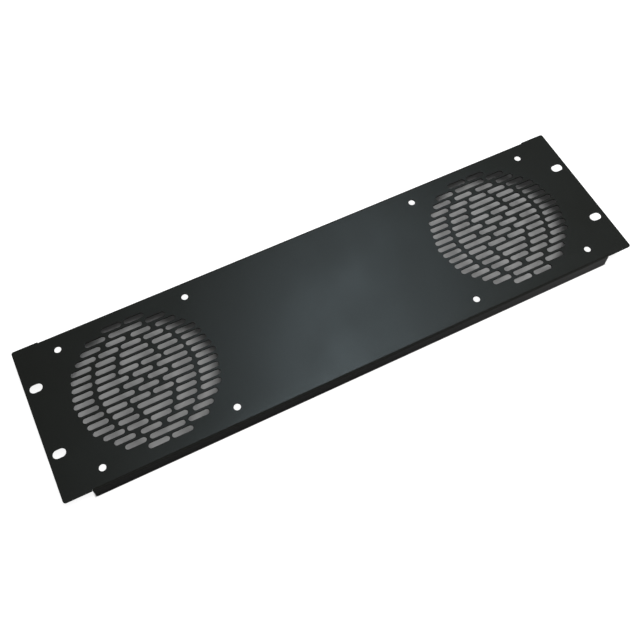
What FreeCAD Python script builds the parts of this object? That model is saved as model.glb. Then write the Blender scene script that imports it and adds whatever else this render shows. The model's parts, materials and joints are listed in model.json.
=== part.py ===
"""A 3U fan panel for a 19-inch rack, for two 120 mm fans: one steel sheet, punched and folded.

The sheet has a rack ear at each end, a downward flange along each long edge between the ears,
two round vents punched as rows of slots, four plain holes round each vent for a fan's screws,
and two slots in each ear for the rack's screws. Its right half is modelled, then mirrored.

Frame, in millimetres: the panel lies face up on the edges of its flanges. +X runs along its
width, +Y up its height in the rack, +Z out of its front face. The origin is on the plane that
the flanges stand on, under the middle of the panel.
"""

import FreeCAD, Part
import math
import os

import Sketcher

SIZES = (
    # alias, millimetres, what it is
    ("panel_width", 482.6, "end to end, over both ears"),
    ("panel_height", 131.5, "across the panel, over both flanges: 3U less its clearance"),
    ("sheet_thick", 1.2, "steel sheet"),
    ("flange_depth", 14.0, "front face to the free edge of a flange"),
    ("ear_reach", 21.3, "panel's end to the flanges' ends, which pass between the rack's posts"),
    ("bend_inside", 0.8, "inside radius of each fold"),
    ("ear_corner", 2.0, "radius of the panel's four corners"),
    ("flange_corner", 1.5, "radius of each flange's free corners"),
    ("rack_slot_inset", 8.75, "panel's end to the middle of a rack slot"),
    ("rack_slot_pitch", 57.15, "between the two rack slots of an ear"),
    ("rack_slot_long", 10.0, "rack slot, end to end"),
    ("rack_slot_wide", 7.0, "rack slot, across"),
    ("vent_inset", 64.5, "flanges' ends to the middle of a vent"),
    ("fan_pitch", 105.0, "between a 120 mm fan's screws, both ways"),
    ("fan_hole", 5.5, "diameter of a fan's screw holes"),
    ("row_pitch", 6.55, "between the rows of vent slots"),
    ("slot_wide", 4.4, "vent slot, across"),
    ("slot_single", 16.3, "most of the vent's slots, end to end"),
    ("slot_middle", 23.2, "the middle slot of the fourth rows"),
    ("slot_double", 25.0, "the longer slots of the first rows"),
    ("slot_long", 27.6, "the middle slot of the third and seventh rows"),
    ("bridge_wide", 3.2, "metal between the ends of two slots in the wide rows"),
    ("bridge_close", 2.1, "the same, in the close rows"),
    ("bridge_sixth", 4.2, "the same, in the sixth rows"),
    ("bridge_seventh", 2.7, "the same, in the seventh rows"),
)

# The vent's rows from its middle row outwards. Each has the bridge between its slots, the slot
# that sits on the vent's centre line, if there is one, and the slots on each side of that.
VENT_ROWS = (
    ("bridge_wide", None, ("slot_single", "slot_single", "slot_single")),
    ("bridge_wide", "slot_single", ("slot_double", "slot_single")),
    ("bridge_close", None, ("slot_single", "slot_single", "slot_single")),
    ("bridge_wide", "slot_long", ("slot_single", "slot_single")),
    ("bridge_wide", "slot_middle", ("slot_single", "slot_single")),
    ("bridge_close", "slot_single", ("slot_single", "slot_single")),
    ("bridge_sixth", None, ("slot_single", "slot_single")),
    ("bridge_seventh", "slot_long", ("slot_single",)),
    ("bridge_close", None, ("slot_single",)),
)

SIZE = {alias: millimetres for alias, millimetres, _ in SIZES}

# Places in the panel, each a sum of (share, alias) terms.
FRONT_FACE = [(1, "flange_depth")]
BACK_FACE = FRONT_FACE + [(-1, "sheet_thick")]
PUNCH_START = FRONT_FACE + [(1, "sheet_thick")]
HALF_HEIGHT = [(0.5, "panel_height")]
HALF_WIDTH = [(0.5, "panel_width")]
FLANGE_END = HALF_WIDTH + [(-1, "ear_reach")]
RACK_SLOT_MIDDLE = HALF_WIDTH + [(-1, "rack_slot_inset")]
VENT_MIDDLE = FLANGE_END + [(-1, "vent_inset")]
HALF_SLOT = [(0.5, "slot_wide")]

# How the sketcher numbers a sketch's own axes and the points of its geometry.
ORIGIN = -1
X_AXIS = -1
Y_AXIS = -2
START, END, CENTRE = 1, 2, 3
UP = FreeCAD.Vector(0, 0, 1)


def value(terms):
    """What a sum of (share, alias) terms comes to, in millimetres."""
    return sum(share * SIZE[alias] for share, alias in terms)


def formula(terms):
    """The same sum as an expression on the sheet's cells."""
    return " + ".join(f"{share} * sizes.{alias}" for share, alias in terms)


def opposite(terms):
    """The terms of the same place on the other side of an axis, or of a step the other way."""
    return [(-share, alias) for share, alias in terms]


def make_sheet(doc):
    """The spreadsheet of driving dimensions."""
    sheet = doc.addObject("Spreadsheet::Sheet", "sizes")
    for row, (alias, millimetres, meaning) in enumerate(SIZES, start=1):
        sheet.set(f"A{row}", meaning)
        sheet.set(f"B{row}", str(millimetres))
        sheet.setAlias(f"B{row}", alias)
    doc.recompute()
    return sheet


def origin_plane(body, role):
    """One of the body's own origin planes."""
    return next(plane for plane in body.Origin.OriginFeatures if plane.Role == role)


def add_sketch(body, name, role, lift=(), shift=()):
    """A sketch on an origin plane, lifted along its normal and shifted along its first axis."""
    sketch = body.newObject("Sketcher::SketchObject", name)
    sketch.AttachmentSupport = [(origin_plane(body, role), "")]
    sketch.MapMode = "FlatFace"
    if lift:
        sketch.setExpression("AttachmentOffset.Base.z", formula(lift))
    if shift:
        sketch.setExpression("AttachmentOffset.Base.x", formula(shift))
    return sketch


def constrain(sketch, kind, *where):
    sketch.addConstraint(Sketcher.Constraint(kind, *where))


def drive(sketch, kind, terms, *where):
    """A dimension of the sketch, driven by a formula on the sheet."""
    index = sketch.addConstraint(Sketcher.Constraint(kind, *where, value(terms)))
    name = f"size_{index}"
    sketch.renameConstraint(index, name)
    sketch.setExpression(f"Constraints.{name}", formula(terms))


def add_line(sketch, start, end):
    first, last = FreeCAD.Vector(*start, 0), FreeCAD.Vector(*end, 0)
    return sketch.addGeometry(Part.LineSegment(first, last))


def add_arc(sketch, centre, radius, from_degrees, to_degrees):
    circle = Part.Circle(FreeCAD.Vector(*centre, 0), UP, radius)
    span = math.radians(from_degrees), math.radians(to_degrees)
    return sketch.addGeometry(Part.ArcOfCircle(circle, *span))


def join_smoothly(sketch, *joints):
    """Each joint is (geometry, its end, geometry, its end), met and tangent."""
    for joint in joints:
        constrain(sketch, "Tangent", *joint)


def add_round_slot(sketch, left, right, rise, wide):
    """A level slot with half circles for ends. Its places and its width are sums of terms."""
    half = [(share / 2, alias) for share, alias in wide]
    left_centre = left + half
    right_centre = right + opposite(half)
    first, last, level, radius = map(value, (left_centre, right_centre, rise, half))
    over = add_line(sketch, (first, level + radius), (last, level + radius))
    right_end = add_arc(sketch, (last, level), radius, -90, 90)
    under = add_line(sketch, (last, level - radius), (first, level - radius))
    left_end = add_arc(sketch, (first, level), radius, 90, 270)
    join_smoothly(
        sketch,
        (over, END, right_end, END),
        (right_end, START, under, START),
        (under, END, left_end, END),
        (left_end, START, over, START),
    )
    constrain(sketch, "Horizontal", over)
    constrain(sketch, "Equal", left_end, right_end)
    drive(sketch, "Radius", half, left_end)
    drive(sketch, "DistanceX", left_centre, ORIGIN, START, left_end, CENTRE)
    drive(sketch, "DistanceX", right_centre, ORIGIN, START, right_end, CENTRE)
    drive(sketch, "DistanceY", rise, ORIGIN, START, left_end, CENTRE)


def add_vent_slot(sketch, left, right, rise):
    """A level slot of the vent. Its places are sums of terms.

    Each end is the half octagon about the real slot's half circle, because so many round ends
    would make the panel's mesh heavy.
    """
    near, far, level, radius = map(value, (left, right, rise, HALF_SLOT))
    low, high = level - radius, level + radius
    cut = radius * (1 - math.tan(math.radians(45 / 2)))
    corners = [
        (far - cut, low),
        (far, low + cut),
        (far, high - cut),
        (far - cut, high),
        (near + cut, high),
        (near, high - cut),
        (near, low + cut),
        (near + cut, low),
    ]
    sides = [add_line(sketch, *ends) for ends in zip(corners, corners[1:] + corners[:1])]
    foot_right, end_right, head_right, top, head_left, end_left, foot_left, bottom = sides
    rules = [("Horizontal", top), ("Horizontal", bottom)]
    rules += [("Vertical", end_right), ("Vertical", end_left)]
    for slant, end, degrees in (
        (foot_right, end_right, 45),
        (head_right, end_right, 135),
        (head_left, end_left, -135),
        (foot_left, end_left, -45),
    ):
        rules += [("Angle", slant, math.radians(degrees)), ("Equal", slant, end)]
    for side, following in zip(sides, sides[1:] + sides[:1]):
        rules.append(("Coincident", side, END, following, START))
    sketch.addConstraint([Sketcher.Constraint(*rule) for rule in rules])
    drive(sketch, "DistanceX", left, ORIGIN, START, end_left, START)
    drive(sketch, "DistanceX", right, ORIGIN, START, end_right, START)
    drive(sketch, "DistanceY", rise + HALF_SLOT, ORIGIN, START, top, START)
    drive(sketch, "DistanceY", rise + opposite(HALF_SLOT), ORIGIN, START, bottom, START)


def add_pad(body, name, sketch, length):
    pad = body.newObject("PartDesign::Pad", name)
    pad.Profile = sketch
    pad.setExpression("Length", formula(length))


def add_cut(body, name, sketch):
    """A pocket from above the front face, straight through the sheet."""
    pocket = body.newObject("PartDesign::Pocket", name)
    pocket.Profile = sketch
    pocket.Type = "ThroughAll"
    return pocket


def add_mirrored(body, name, role, originals=()):
    """Repeats features, or the whole body so far, across one of the body's origin planes.

    The document is recomputed here, because the next feature needs this one's shape.
    """
    repeat = body.newObject("PartDesign::Mirrored", name)
    repeat.MirrorPlane = (origin_plane(body, role), [""])
    if originals:
        repeat.Originals = originals
    else:
        repeat.TransformMode = "Whole shape"
    body.Tip = repeat
    body.Document.recompute()


def add_channel(body):
    """The folded sheet from the panel's middle to the flanges' ends: its face and flanges."""
    thick = SIZE["sheet_thick"]
    inside = SIZE["bend_inside"]
    outside = inside + thick
    half = value(HALF_HEIGHT)
    front = value(FRONT_FACE)
    bend_y = half - outside
    bend_z = front - outside

    sketch = add_sketch(body, "channel_profile", "YZ_Plane")
    face = add_line(sketch, (-bend_y, front), (bend_y, front))
    outer_right = add_arc(sketch, (bend_y, bend_z), outside, 0, 90)
    flange_right = add_line(sketch, (half, bend_z), (half, 0))
    foot_right = add_line(sketch, (half, 0), (half - thick, 0))
    back_right = add_line(sketch, (half - thick, 0), (half - thick, bend_z))
    inner_right = add_arc(sketch, (bend_y, bend_z), inside, 0, 90)
    back = add_line(sketch, (bend_y, front - thick), (-bend_y, front - thick))
    inner_left = add_arc(sketch, (-bend_y, bend_z), inside, 90, 180)
    back_left = add_line(sketch, (thick - half, bend_z), (thick - half, 0))
    foot_left = add_line(sketch, (thick - half, 0), (-half, 0))
    flange_left = add_line(sketch, (-half, 0), (-half, bend_z))
    outer_left = add_arc(sketch, (-bend_y, bend_z), outside, 90, 180)

    join_smoothly(
        sketch,
        (face, END, outer_right, END),
        (outer_right, START, flange_right, START),
        (back_right, END, inner_right, START),
        (inner_right, END, back, START),
        (back, END, inner_left, START),
        (inner_left, END, back_left, START),
        (flange_left, END, outer_left, END),
        (outer_left, START, face, START),
    )
    for meeting in (
        (flange_right, END, foot_right, START),
        (foot_right, END, back_right, START),
        (back_left, END, foot_left, START),
        (foot_left, END, flange_left, START),
        (outer_right, CENTRE, inner_right, CENTRE),
        (outer_left, CENTRE, inner_left, CENTRE),
    ):
        constrain(sketch, "Coincident", *meeting)
    for upright in (flange_right, back_right, back_left, flange_left):
        constrain(sketch, "Vertical", upright)
    for foot in (foot_right, foot_left):
        constrain(sketch, "PointOnObject", foot, START, X_AXIS)
        constrain(sketch, "Horizontal", foot)
        drive(sketch, "Distance", [(1, "sheet_thick")], foot)
    for inner in (inner_right, inner_left):
        drive(sketch, "Radius", [(1, "bend_inside")], inner)
    constrain(sketch, "Symmetric", face, START, face, END, Y_AXIS)
    drive(sketch, "DistanceX", HALF_HEIGHT, ORIGIN, START, flange_right, END)
    drive(sketch, "DistanceY", FRONT_FACE, ORIGIN, START, face, END)
    add_pad(body, "channel", sketch, FLANGE_END)


def add_ear(body):
    """The flat ear past the flanges' ends, at the panel's full height."""
    half = value(HALF_HEIGHT)
    inner = value(FLANGE_END)
    outer = value(HALF_WIDTH)
    corner = SIZE["ear_corner"]

    sketch = add_sketch(body, "ear_outline", "XY_Plane", lift=BACK_FACE)
    root = add_line(sketch, (inner, half), (inner, -half))
    near = add_line(sketch, (inner, -half), (outer - corner, -half))
    near_corner = add_arc(sketch, (outer - corner, corner - half), corner, 270, 360)
    end = add_line(sketch, (outer, corner - half), (outer, half - corner))
    far_corner = add_arc(sketch, (outer - corner, half - corner), corner, 0, 90)
    far = add_line(sketch, (outer - corner, half), (inner, half))

    join_smoothly(
        sketch,
        (near, END, near_corner, START),
        (near_corner, END, end, START),
        (end, END, far_corner, START),
        (far_corner, END, far, START),
    )
    constrain(sketch, "Coincident", root, END, near, START)
    constrain(sketch, "Coincident", far, END, root, START)
    constrain(sketch, "Symmetric", root, START, root, END, X_AXIS)
    constrain(sketch, "Vertical", end)
    for edge in (near, far):
        constrain(sketch, "Horizontal", edge)
    constrain(sketch, "Equal", near_corner, far_corner)
    drive(sketch, "Radius", [(1, "ear_corner")], near_corner)
    drive(sketch, "DistanceX", FLANGE_END, ORIGIN, START, root, START)
    drive(sketch, "DistanceX", HALF_WIDTH, ORIGIN, START, end, END)
    drive(sketch, "DistanceY", HALF_HEIGHT, ORIGIN, START, root, START)
    add_pad(body, "ear", sketch, [(1, "sheet_thick")])


def round_flange_corners(body):
    """Rounds the free corners of the flanges, where their ends meet the plane they stand on."""
    body.Document.recompute()
    folded = body.Tip
    corners = [
        f"Edge{number}"
        for number, edge in enumerate(folded.Shape.Edges, start=1)
        if math.isclose(edge.CenterOfMass.x, value(FLANGE_END))
        and math.isclose(edge.CenterOfMass.z, 0, abs_tol=1e-6)
    ]
    fillet = body.newObject("PartDesign::Fillet", "flange_corners")
    fillet.Base = (folded, corners)
    fillet.setExpression("Radius", formula([(1, "flange_corner")]))


def add_rack_slots(body):
    """Two slots in the ear for the rack's screws."""
    sketch = add_sketch(body, "rack_slot_outline", "XY_Plane", lift=PUNCH_START)
    inner = RACK_SLOT_MIDDLE + [(-0.5, "rack_slot_long")]
    outer = RACK_SLOT_MIDDLE + [(0.5, "rack_slot_long")]
    rise = [(0.5, "rack_slot_pitch")]
    add_round_slot(sketch, inner, outer, rise, [(1, "rack_slot_wide")])
    slot = add_cut(body, "rack_slot", sketch)
    add_mirrored(body, "rack_slots", "XZ_Plane", [slot])


def add_fan_holes(body):
    """Four plain holes round the vent, on the pitch of a 120 mm fan's screws."""
    sketch = add_sketch(body, "fan_hole_outline", "XY_Plane", lift=PUNCH_START)
    radius = [(0.5, "fan_hole")]
    rise = [(0.5, "fan_pitch")]
    for side in (-0.5, 0.5):
        reach = VENT_MIDDLE + [(side, "fan_pitch")]
        centre = FreeCAD.Vector(value(reach), value(rise), 0)
        circle = sketch.addGeometry(Part.Circle(centre, UP, value(radius)))
        drive(sketch, "Radius", radius, circle)
        drive(sketch, "DistanceX", reach, ORIGIN, START, circle, CENTRE)
        drive(sketch, "DistanceY", rise, ORIGIN, START, circle, CENTRE)
    holes = add_cut(body, "fan_hole_pair", sketch)
    add_mirrored(body, "fan_holes", "XZ_Plane", [holes])


def add_vent_row(body, number, bridge, middle, outwards):
    """One row of vent slots, a number of rows above the middle one."""
    outline = f"vent_row_outline_{number}"
    sketch = add_sketch(body, outline, "XY_Plane", lift=PUNCH_START, shift=VENT_MIDDLE)
    rise = [(number, "row_pitch")]
    if middle:
        half = [(0.5, middle)]
        add_vent_slot(sketch, opposite(half), half, rise)
        inner = half + [(1, bridge)]
    else:
        inner = [(0.5, bridge)]
    for length in outwards:
        outer = inner + [(1, length)]
        add_vent_slot(sketch, inner, outer, rise)
        add_vent_slot(sketch, opposite(outer), opposite(inner), rise)
        inner = outer + [(1, bridge)]
    return add_cut(body, f"vent_row_{number}", sketch)


def add_vent(body):
    """The vent: its middle row, and the rows that repeat above and below it."""
    rows = [add_vent_row(body, number, *row) for number, row in enumerate(VENT_ROWS)]
    add_mirrored(body, "vent_rows", "XZ_Plane", rows[1:])


def make_panel(doc):
    """The whole sheet, as one body."""
    body = doc.addObject("PartDesign::Body", "panel")
    body.Label = "fan_panel"
    add_channel(body)
    add_ear(body)
    round_flange_corners(body)
    add_rack_slots(body)
    add_fan_holes(body)
    add_vent(body)
    add_mirrored(body, "both_halves", "YZ_Plane")
    return body


def check(doc, parts):
    """Stops if a feature failed or a part is not one valid solid."""
    for thing in doc.Objects:
        if "Invalid" in thing.State or "Error" in thing.State:
            raise RuntimeError(f"{thing.Name} failed: {thing.State}")
    for part in parts:
        shape = part.Shape
        if shape.isNull() or not shape.isValid() or len(shape.Solids) != 1:
            raise RuntimeError(f"{part.Label} is not one valid solid")
        print(part.Label, f"{shape.Volume:.1f} mm3", len(shape.Faces), "faces")


def main():
    doc = FreeCAD.newDocument("fan_panel_3u")
    make_sheet(doc)
    parts = [make_panel(doc)]
    doc.recompute()
    check(doc, parts)
    os.makedirs("parts", exist_ok=True)
    for part in parts:
        part.Shape.exportStep(f"parts/{part.Label}.step")


main()
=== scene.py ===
"""A 3U rack fan panel in black powder coat, lying face up on a pale floor.

The panel's sheet is built flat, as its blank, with the rounded rims that a coat of powder gives
every cut edge. Its long edges are then folded down round the bend, as on the real one. Sizes
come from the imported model, in metres, in its frame: +X along the panel's width, +Y up its
height in the rack, +Z out of its front face.
"""

import json
import math

import bmesh
import bpy
from mathutils import Matrix, Vector
from mathutils.geometry import delaunay_2d_cdt


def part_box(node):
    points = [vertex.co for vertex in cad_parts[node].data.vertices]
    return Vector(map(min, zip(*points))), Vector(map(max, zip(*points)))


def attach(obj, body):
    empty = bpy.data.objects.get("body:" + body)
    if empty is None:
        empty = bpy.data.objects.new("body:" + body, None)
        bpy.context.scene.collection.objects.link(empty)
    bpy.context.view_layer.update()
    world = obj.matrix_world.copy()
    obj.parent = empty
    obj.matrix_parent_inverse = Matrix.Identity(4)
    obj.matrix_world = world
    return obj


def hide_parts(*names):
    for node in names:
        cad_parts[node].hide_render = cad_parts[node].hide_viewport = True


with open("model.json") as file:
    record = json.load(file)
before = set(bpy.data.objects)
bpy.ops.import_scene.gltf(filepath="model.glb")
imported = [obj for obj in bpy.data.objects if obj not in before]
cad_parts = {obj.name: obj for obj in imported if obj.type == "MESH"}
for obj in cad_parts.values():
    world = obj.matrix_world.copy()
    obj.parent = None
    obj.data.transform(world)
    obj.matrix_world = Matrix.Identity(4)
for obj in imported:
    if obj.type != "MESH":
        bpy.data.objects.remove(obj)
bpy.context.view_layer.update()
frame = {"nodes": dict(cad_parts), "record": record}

MM = 0.001

# The radii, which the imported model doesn't state.
BEND_INSIDE = 0.8 * MM
EAR_CORNER = 2.0 * MM
FLANGE_CORNER = 1.5 * MM

# Forms that only the look needs: the coat's rims, the ears' slits, the bow beside the lower bend.
RIM = 0.25 * MM
RELIEF = 0.1 * MM
BOW_WIDTH = 18 * MM
BOW_FADE = 40 * MM
BOW_TILT = math.radians(3.2)

# How finely each curve is divided.
RIM_STEPS = 3
QUARTER_STEPS = 6
BEND_STEPS = 8
BOW_STEPS = 4

# Tolerances, and the least angle between the front face and the wall of a hole.
MEASURE = 0.01 * MM
SHORTEST_EDGE = 0.001 * MM
SAME_POINT = 0.00001 * MM
WALL_ANGLE = math.radians(45)

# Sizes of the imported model.
panel = frame["nodes"]["fan_panel"]
mounts = {mount["name"]: mount for mount in frame["record"]["mounts"]}
VENT_MIDDLE = (mounts["right_fan_holes"]["pos_m"][0], 0, 0)
FAN_PITCH = mounts["right_fan_holes"]["dims"]["spacing_x_mm"] * MM
FAN_HOLE = (FAN_PITCH / 2, FAN_PITCH / 2, 0)
low, high = (Vector(corner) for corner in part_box("fan_panel"))
FRONT = high.z
BACK = mounts["left_ear_back"]["pos_m"][2]
SHEET = FRONT - BACK
HALF_WIDTH = high.x
HALF_HEIGHT = high.y
BEND_OUTSIDE = BEND_INSIDE + SHEET
BEND_START = HALF_HEIGHT - BEND_OUTSIDE
BEND_LENGTH = BEND_OUTSIDE * math.pi / 2
FLANGE_END = max(v.co.x for v in panel.data.vertices if v.co.z < FRONT / 2)
FLANGE_FLAT = FRONT - BEND_OUTSIDE - low.z
BLANK_HALF_HEIGHT = BEND_START + BEND_LENGTH + FLANGE_FLAT


# Outlines: each runs with the metal on its left.


def arc(centre, radius, from_degrees, to_degrees, steps=QUARTER_STEPS):
    """Points along a circle, from one angle to another, both ends included."""
    points = []
    for step in range(steps + 1):
        angle = math.radians(from_degrees + (to_degrees - from_degrees) * step / steps)
        points.append(centre + radius * Vector((math.cos(angle), math.sin(angle))))
    return points


def blank_outline():
    """The unfolded sheet: its ears, and a tab for each flange, slit from the ears at the bend."""
    ear = Vector((HALF_WIDTH - EAR_CORNER, HALF_HEIGHT - EAR_CORNER))
    tab = Vector((FLANGE_END - FLANGE_CORNER, BLANK_HALF_HEIGHT - FLANGE_CORNER))
    quarter = arc(ear, EAR_CORNER, 0, 90)
    quarter += [
        Vector((FLANGE_END + RELIEF, HALF_HEIGHT)),
        Vector((FLANGE_END + RELIEF, BEND_START)),
        Vector((FLANGE_END, BEND_START)),
    ]
    quarter += arc(tab, FLANGE_CORNER, 0, 90)
    upper_left = [Vector((-p.x, p.y)) for p in reversed(quarter)]
    lower_left = [-p for p in quarter]
    lower_right = [Vector((p.x, -p.y)) for p in reversed(quarter)]
    return quarter + upper_left + lower_left + lower_right


def slot_outline(left, right, bottom, top):
    """A round-ended slot that fills a box. A square box gives a round hole."""
    radius = (top - bottom) / 2
    middle = (top + bottom) / 2
    first, last = Vector((left + radius, middle)), Vector((right - radius, middle))
    left_end = arc(first, radius, 270, 90, steps=2 * QUARTER_STEPS)
    right_end = arc(last, radius, 90, -90, steps=2 * QUARTER_STEPS)
    if (last - first).length < MEASURE:
        # Each end starts where the other one stops.
        return left_end[:-1] + right_end[:-1]
    return left_end + right_end


def hole_boxes(node):
    """The box of every hole in the node's front face, as (left, right, bottom, top)."""
    mesh = bmesh.new()
    mesh.from_mesh(node.data)
    bmesh.ops.remove_doubles(mesh, verts=mesh.verts, dist=MEASURE)
    front = [v for v in mesh.verts if abs(v.co.z - FRONT) < MEASURE]
    rims = {
        edge
        for vertex in front
        for edge in vertex.link_edges
        if edge.other_vert(vertex).co.z > FRONT - MEASURE
        and len(edge.link_faces) == 2
        and edge.calc_face_angle() > WALL_ANGLE
    }
    boxes = []
    while rims:
        loose = [rims.pop()]
        loop = set()
        while loose:
            edge = loose.pop()
            for vertex in edge.verts:
                loop.add(vertex.co.to_2d().freeze())
                for other in vertex.link_edges:
                    if other in rims:
                        rims.remove(other)
                        loose.append(other)
        xs = [point.x for point in loop]
        ys = [point.y for point in loop]
        # The panel's own outline is a loop too, but a much higher one.
        if max(ys) - min(ys) < HALF_HEIGHT:
            boxes.append((min(xs), max(xs), min(ys), max(ys)))
    mesh.free()
    return sorted(boxes)


# The sheet: outlines, then rims and faces, then the fold.


def insets(points):
    """For each point of an outline, the way into the metal, so long that both sides move by 1."""
    ways = []
    for before, point, after in zip(points[-1:] + points, points, points[1:] + points[:1]):
        first, last = (point - before).normalized(), (after - point).normalized()
        left_first, left_last = Vector((-first.y, first.x)), Vector((-last.y, last.x))
        ways.append((left_first + left_last) / (1 + left_first.dot(left_last)))
    return ways


def rim_profile():
    """Steps round a cut edge from front to back: inset, height, and the normal's two parts."""
    turns = [math.pi / 2 * step / RIM_STEPS for step in range(RIM_STEPS + 1)]
    steps = []
    for face, sign in ((FRONT, 1), (BACK, -1)):
        for turn in turns[::sign]:
            outwards, upwards = math.sin(turn), sign * math.cos(turn)
            height = face - sign * RIM * (1 - math.cos(turn))
            steps.append((RIM * (1 - outwards), height, outwards, upwards))
    return steps


def fill(rings):
    """Triangles between the outline and its holes, counterclockwise as seen from the front."""
    vertices, regions = [], []
    for ring in rings:
        first = len(vertices)
        vertices += ring
        regions.append(list(range(first, len(vertices))))
    # The holes' rings run clockwise, and every region has to run counterclockwise.
    regions[1:] = [region[::-1] for region in regions[1:]]
    places = [vertex.co.to_2d() for vertex in vertices]
    inside_only = 1
    made = delaunay_2d_cdt(places, [], regions, inside_only, SAME_POINT)
    triangles, vertex_sources, covers = made[2], made[3], made[5]
    # A triangle of metal lies in the first region, the outline, and in no hole.
    in_outline_only = [0]
    return [
        [vertices[vertex_sources[i][0]] for i in triangle]
        for triangle, cover in zip(triangles, covers)
        if list(cover) == in_outline_only
    ]


def build_blank(mesh, outlines):
    """The flat sheet with its holes, all its rims rounded."""
    normal_layer = mesh.verts.layers.float_vector.new("rest_normal")
    profile = rim_profile()
    fronts, backs = [], []
    for points in outlines:
        ways = insets(points)
        rings = []
        for inset, height, outwards, upwards in profile:
            ring = []
            for point, way in zip(points, ways):
                vertex = mesh.verts.new((*(point + inset * way), height))
                side = -outwards * way.normalized()
                vertex[normal_layer] = (side.x, side.y, upwards)
                ring.append(vertex)
            rings.append(ring)
        count = len(points)
        for upper, lower in zip(rings, rings[1:]):
            for i in range(count):
                j = (i + 1) % count
                mesh.faces.new((upper[i], lower[i], lower[j], upper[j]))
        fronts.append(rings[0])
        backs.append(rings[-1])
    for rings, order in ((fronts, 1), (backs, -1)):
        for triangle in fill(rings):
            mesh.faces.new(triangle[::order])
    return normal_layer


def bow(point):
    """How far folding pulls the face down beside the lower bend, and how it tilts it there.

    The tilt grows as the cube of the way across the bow, so the drop grows as its fourth power.
    """
    depth = (-point.y - BEND_START) / BOW_WIDTH + 1
    fade = (FLANGE_END - abs(point.x)) / BOW_FADE
    near_bend = min(max(depth, 0), 1)
    near_end = min(max(fade, 0), 1)
    share = near_end * near_end * (3 - 2 * near_end)
    return share * BOW_TILT * BOW_WIDTH * near_bend**4 / 4, share * BOW_TILT * near_bend**3


def cut_lines():
    """Where the flat sheet is divided so that it can bend: (place, normal) of each plane."""
    across = [BEND_START + BEND_LENGTH * step / BEND_STEPS for step in range(BEND_STEPS + 1)]
    bowed = [BOW_WIDTH * step / BOW_STEPS - BEND_START for step in range(1, BOW_STEPS + 1)]
    clear_of_slit = FLANGE_END + EAR_CORNER / 2
    along = [clear_of_slit - BOW_FADE * step / BOW_STEPS for step in range(BOW_STEPS + 1)]
    yield from (((0, line, 0), (0, 1, 0)) for line in bowed)
    for side in (-1, 1):
        yield from (((0, side * line, 0), (0, 1, 0)) for line in across)
        yield from (((side * line, 0, 0), (1, 0, 0)) for line in along)


def fold(mesh, normal_layer):
    """Folds both long edges down, by the bend's radius, and returns the vertices' normals."""
    for place, normal in cut_lines():
        everything = mesh.verts[:] + mesh.edges[:] + mesh.faces[:]
        bmesh.ops.bisect_plane(mesh, geom=everything, plane_co=place, plane_no=normal)
    bmesh.ops.dissolve_degenerate(mesh, edges=mesh.edges, dist=SHORTEST_EDGE)
    mesh.verts.index_update()
    normals = []
    for vertex in mesh.verts:
        side = math.copysign(1, vertex.co.y)
        drop, tilt = bow(vertex.co)
        # The way along the blank past the bend's start: the bend first, then the flat flange.
        past = abs(vertex.co.y) - BEND_START
        if past > MEASURE and abs(vertex.co.x) < FLANGE_END + RELIEF / 2:
            tilt = max(min(past / BEND_LENGTH, 1) * math.pi / 2, tilt)
            straight = max(past - BEND_LENGTH, 0) * (1 - drop / FLANGE_FLAT)
            radius = BEND_OUTSIDE - (FRONT - vertex.co.z)
            vertex.co.y = side * (BEND_START + radius * math.sin(tilt))
            vertex.co.z = FRONT - BEND_OUTSIDE + radius * math.cos(tilt) - straight
        vertex.co.z -= drop
        normal = vertex[normal_layer].copy()
        normal.rotate(Matrix.Rotation(-side * tilt, 3, "X"))
        normals.append(normal.normalized())
    return normals


def make_panel():
    """The folded, coated sheet, in place of the plain one."""
    outlines = [blank_outline()] + [slot_outline(*box) for box in hole_boxes(panel)]
    mesh = bmesh.new()
    normal_layer = build_blank(mesh, outlines)
    normals = fold(mesh, normal_layer)
    data = bpy.data.meshes.new("coated_panel")
    mesh.to_mesh(data)
    mesh.free()
    data.polygons.foreach_set("use_smooth", [True] * len(data.polygons))
    data.normals_split_custom_set_from_vertices(normals)
    piece = bpy.data.objects.new("coated_panel", data)
    bpy.context.scene.collection.objects.link(piece)
    piece.data.materials.append(powder_coat())
    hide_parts("fan_panel")
    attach(piece, "root")


# Shader nodes.

WHITE = (1, 1, 1, 1)
NOISE_RANGE = (0.3, 0.7)
BUMP_STRENGTH = 0.5


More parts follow.
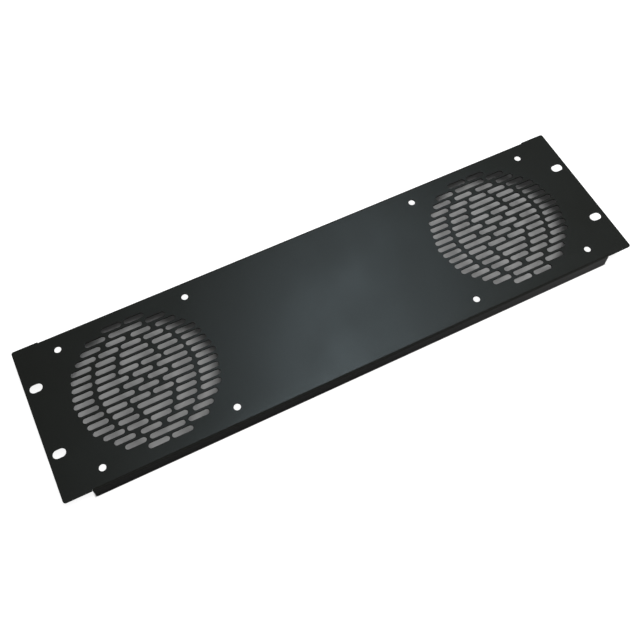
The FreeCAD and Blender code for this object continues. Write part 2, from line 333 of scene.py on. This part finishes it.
class Graph:
    """The nodes of a material or of the world, and short ways to add more of them."""

    def __init__(self, tree):
        self.nodes = tree.nodes
        self.link = tree.links.new

    def source(self, kind, output):
        """An output of a new node that takes no input."""
        return self.nodes.new(kind).outputs[output]

    def maths(self, operation, first, second):
        """A Math node of two inputs, each a socket or a float."""
        node = self.nodes.new("ShaderNodeMath")
        node.operation = operation
        for socket, given in zip(node.inputs, (first, second)):
            if isinstance(given, float):
                socket.default_value = given
            else:
                self.link(given, socket)
        return node.outputs[0]

    def product(self, first, second):
        return self.maths("MULTIPLY", first, second)

    def larger(self, first, second):
        return self.maths("MAXIMUM", first, second)

    def vector_maths(self, operation, first, second=None):
        """A Vector Math node of a socket and, if there is one, a constant."""
        node = self.nodes.new("ShaderNodeVectorMath")
        node.operation = operation
        self.link(first, node.inputs[0])
        if second is not None:
            node.inputs[1].default_value = second
        return node.outputs["Value" if operation == "DISTANCE" else "Vector"]

    def axes(self, vector):
        """A vector's three parts, by the names of their axes."""
        node = self.nodes.new("ShaderNodeSeparateXYZ")
        self.link(vector, node.inputs[0])
        return node.outputs

    def ramp(self, given, start, end):
        """0 at the start and before it, 1 at the end and past it, smooth between them."""
        node = self.nodes.new("ShaderNodeMapRange")
        node.interpolation_type = "SMOOTHSTEP"
        node.inputs["From Min"].default_value = start
        node.inputs["From Max"].default_value = end
        self.link(given, node.inputs["Value"])
        return node.outputs["Result"]

    def ray_kinds(self):
        """Whether the camera sees a place, and whether a mirror or glass does."""
        rays = self.nodes.new("ShaderNodeLightPath").outputs
        mirrored_or_through = self.larger(rays["Is Glossy Ray"], rays["Is Transmission Ray"])
        return rays["Is Camera Ray"], mirrored_or_through

    def noise(self, coordinates, size, detail=2.0):
        """Noise whose grains are about a size across."""
        node = self.nodes.new("ShaderNodeTexNoise")
        node.inputs["Scale"].default_value = 1 / size
        node.inputs["Detail"].default_value = detail
        self.link(coordinates, node.inputs["Vector"])
        return node.outputs["Fac"]

    def spread(self, noise, low_value, high_value):
        """Maps noise, which keeps near 0.5, to a range."""
        node = self.nodes.new("ShaderNodeMapRange")
        node.inputs["From Min"].default_value = NOISE_RANGE[0]
        node.inputs["From Max"].default_value = NOISE_RANGE[1]
        node.inputs["To Min"].default_value = low_value
        node.inputs["To Max"].default_value = high_value
        self.link(noise, node.inputs["Value"])
        return node.outputs["Result"]

    def bump(self, noise, depth, under=None):
        """A normal that noise disturbs, on top of another such normal if there is one."""
        node = self.nodes.new("ShaderNodeBump")
        node.inputs["Strength"].default_value = BUMP_STRENGTH
        node.inputs["Distance"].default_value = depth
        self.link(noise, node.inputs["Height"])
        if under is not None:
            self.link(under, node.inputs["Normal"])
        return node.outputs["Normal"]


def new_material(name):
    """A material, its graph and its shader."""
    material = bpy.data.materials.new(name)
    material.use_nodes = True
    graph = Graph(material.node_tree)
    return material, graph, graph.nodes["Principled BSDF"]


# The powder coat.

COAT_DARK = (0.0080, 0.0085, 0.0072, 1)
COAT_LIGHT = (0.0105, 0.0110, 0.0092, 1)
COAT_ROUGHNESS = (0.34, 0.40)
COAT_IOR = 1.45
COAT_SPECULAR = 0.3
CLOUD_SIZE = 45 * MM
PEEL_SIZE = 1.6 * MM
PEEL_DEPTH = 0.03 * MM
GRAIN_SIZE = 0.55 * MM
GRAIN_DEPTH = 0.02 * MM


def powder_coat():
    """Black powder coat: satin, with a fine orange peel, and a slightly uneven gloss and tone."""
    material, graph, shader = new_material("black_powder_coat")
    place = graph.source("ShaderNodeTexCoord", "Object")
    cloud = graph.noise(place, CLOUD_SIZE)
    grain = graph.noise(place, GRAIN_SIZE, detail=3.0)
    peel = graph.noise(place, PEEL_SIZE, detail=1.0)

    tone = graph.nodes.new("ShaderNodeMix")
    tone.data_type = "RGBA"
    tone.inputs["A"].default_value = COAT_DARK
    tone.inputs["B"].default_value = COAT_LIGHT
    graph.link(graph.spread(grain, 0, 1), tone.inputs["Factor"])
    graph.link(tone.outputs["Result"], shader.inputs["Base Color"])
    graph.link(graph.spread(cloud, *COAT_ROUGHNESS), shader.inputs["Roughness"])
    shader.inputs["IOR"].default_value = COAT_IOR
    shader.inputs["Specular IOR Level"].default_value = COAT_SPECULAR

    grained = graph.bump(grain, GRAIN_DEPTH)
    graph.link(graph.bump(peel, PEEL_DEPTH, under=grained), shader.inputs["Normal"])
    return material


# The floor: its tone as a surface, its tone for the camera, and how white it shines. The camera's
# lighter tone is painted light, against the darker tone that reflections and bounced light see.

FLOOR_SIZE = 12.0
FLOOR_TONE = 0.14
FLOOR_SEEN = 0.33
FLOOR_WHITE = 0.9
# A faint painted light that the camera sees on the floor under the panel.
UNDER_WHITE = 0.022
SHADOW_EDGE = 2 * MM

# Painted shade and light in what the panel reflects of the floor: how far from the panel its
# reflections whiten out of a painted shade, how many times sooner they do past its ends, and
# between which places along it a painted light whitens them towards the right.
REFLECTION_EDGE = 400 * MM
END_REACH = 8.0
PAINTED_LIGHT_SIDE = (-50 * MM, 800 * MM)

# Painted light spots on the floor, where the main view looks through the fan holes: their radius,
# and how the fan holes' places spread and shift to give theirs.
PAINTED_SPOT_RADIUS = 5.5 * MM
SPOT_SPREAD = 1.0244
SPOT_SHIFT = Vector((3.59, 7.23, 0)) * MM


def painted_hole_light(graph, place):
    """Painted light: 1 on the floor where the main view looks through a fan hole, and 0
    elsewhere.
    """
    hole = graph.vector_maths("SUBTRACT", place, SPOT_SHIFT)
    hole = graph.vector_maths("DIVIDE", hole, (SPOT_SPREAD,) * 3)
    from_middle = graph.vector_maths("ABSOLUTE", hole)
    from_vent = graph.vector_maths("SUBTRACT", from_middle, VENT_MIDDLE)
    from_vent = graph.vector_maths("ABSOLUTE", from_vent)
    distance = graph.vector_maths("DISTANCE", from_vent, FAN_HOLE)
    return graph.ramp(distance, PAINTED_SPOT_RADIUS, PAINTED_SPOT_RADIUS - SHADOW_EDGE)


def floor_white(graph):
    """How strongly the floor's white shines.

    The camera sees white right up to the panel, and through its fan holes in painted light spots,
    but barely any, a faint painted light, in its shadow: a painted box between the flanges where
    the floor shows only the real light that reaches it. What the panel reflects whitens with
    distance from it, out of a painted shade, and towards its right end in a painted light.
    """
    place = graph.source("ShaderNodeNewGeometry", "Position")
    from_middle = graph.vector_maths("ABSOLUTE", place)
    # Painted shadow: a box between the flanges where the floor's white is cut, so only the real
    # light reaching the floor shows there.
    shadow = (FLANGE_END, HALF_HEIGHT - SHEET, 0)
    outside = graph.axes(graph.vector_maths("SUBTRACT", from_middle, shadow))
    distance = graph.larger(outside["X"], outside["Y"])
    beside = graph.product(graph.ramp(distance, 0, SHADOW_EDGE), FLOOR_WHITE)
    # The camera's white: the backdrop beside the panel, the painted light spots under the fan
    # holes, and a faint painted light under the panel.
    seen = graph.larger(graph.larger(beside, painted_hole_light(graph, place)), UNDER_WHITE)

    # Painted shade and light for reflections only: the floor's white is held back near the panel,
    # and a painted light brightens it towards the panel's right end.
    reach = graph.larger(graph.product(outside["X"], END_REACH), outside["Y"])
    far = graph.product(graph.ramp(reach, 0, REFLECTION_EDGE), FLOOR_WHITE)
    painted_side_light = graph.product(graph.ramp(graph.axes(place)["X"], *PAINTED_LIGHT_SIDE), beside)
    reflected = graph.larger(far, painted_side_light)

    camera, gloss = graph.ray_kinds()
    return graph.larger(graph.product(camera, seen), graph.product(gloss, reflected))


def make_floor():
    """A floor that the camera sees as white wherever it isn't looking through a vent, with
    painted light and shade in its tone and its white.
    """
    data = bpy.data.meshes.new("floor")
    half = FLOOR_SIZE / 2
    corners = [(-half, -half), (half, -half), (half, half), (-half, half)]
    data.from_pydata([(x, y, low.z) for x, y in corners], [], [(0, 1, 2, 3)])
    floor = bpy.data.objects.new("floor", data)
    bpy.context.scene.collection.objects.link(floor)
    material, graph, shader = new_material("pale_floor")
    camera, _ = graph.ray_kinds()
    # Painted light: the camera sees the floor lighter than reflections and bounced light do.
    painted_camera_light = graph.product(camera, FLOOR_SEEN - FLOOR_TONE)
    graph.link(graph.maths("ADD", painted_camera_light, FLOOR_TONE), shader.inputs["Base Color"])
    shader.inputs["Roughness"].default_value = 1.0
    shader.inputs["Specular IOR Level"].default_value = 0.0
    shader.inputs["Emission Color"].default_value = WHITE
    graph.link(floor_white(graph), shader.inputs["Emission Strength"])
    floor.data.materials.append(material)


# Lights, backdrop and camera.

KEY = {"towards": (0.33, 0.0, 1.0), "distance": 1.4, "size": (1.2, 1.2), "power": 28.0}
CARD = {"towards": (0.176, 0.222, 0.90), "distance": 1.3, "size": (0.22, 0.84), "power": 6.5}
CARD_ROLL = math.radians(17)
CARD_COLOUR = (0.80, 1.0, 1.11)

# The world's fill light, and the heights between which its reflection fades from white to that.
FILL = 0.10
BAND_FULL = 0.10
BAND_TOP = 0.35

CAMERA_PLACE = Vector((-146.9, -295.8, 586.9)) * MM
CAMERA_TARGET = Vector((-16.05, -14.35, 14.0)) * MM
CAMERA_ROLL = math.radians(-1.377)
CAMERA_LENS = 46.97
CAMERA_SENSOR = 36.0


def add_softbox(name, towards, distance, size, power, roll=0.0):
    """A soft light in a direction from the middle of the panel, turned on its axis by a roll."""
    light = bpy.data.lights.new(name, "AREA")
    light.shape = "RECTANGLE"
    light.size, light.size_y = size
    light.energy = power
    lamp = bpy.data.objects.new(name, light)
    lamp.location = Vector(towards).normalized() * distance
    aim = Vector(towards).to_track_quat("Z", "Y").to_matrix()
    aim @= Matrix.Rotation(roll, 3, "Z")
    lamp.rotation_euler = aim.to_euler()
    bpy.context.scene.collection.objects.link(lamp)
    return lamp


def add_lights():
    """A wide soft key, and a card whose sheen crosses the face."""
    key = add_softbox("key", **KEY)
    key.visible_glossy = False
    card = add_softbox("card", **CARD, roll=CARD_ROLL)
    card.data.color = CARD_COLOUR
    card.visible_diffuse = False


def add_backdrop():
    """A world of dim fill light, white all round for the camera, and low down for mirrors."""
    world = bpy.data.worlds.new("studio")
    world.use_nodes = True
    bpy.context.scene.world = world
    graph = Graph(world.node_tree)
    background = graph.nodes["Background"]
    background.inputs["Color"].default_value = WHITE
    height = graph.axes(graph.source("ShaderNodeTexCoord", "Generated"))["Z"]
    low_band = graph.ramp(height, BAND_TOP, BAND_FULL)
    camera, gloss = graph.ray_kinds()
    white = graph.larger(camera, graph.product(gloss, low_band))
    graph.link(graph.larger(white, FILL), background.inputs["Strength"])


def add_camera():
    """Looks down on the panel from its lower left, a little rolled."""
    data = bpy.data.cameras.new("camera")
    data.lens = CAMERA_LENS
    data.sensor_width = CAMERA_SENSOR
    camera = bpy.data.objects.new("camera", data)
    turn = (CAMERA_TARGET - CAMERA_PLACE).to_track_quat("-Z", "Y").to_matrix().to_4x4()
    roll = Matrix.Rotation(CAMERA_ROLL, 4, "Z")
    camera.matrix_world = Matrix.Translation(CAMERA_PLACE) @ turn @ roll
    bpy.context.scene.collection.objects.link(camera)
    bpy.context.scene.camera = camera


make_panel()
make_floor()
add_lights()
add_backdrop()
add_camera()
bpy.context.scene.view_settings.view_transform = "Standard"
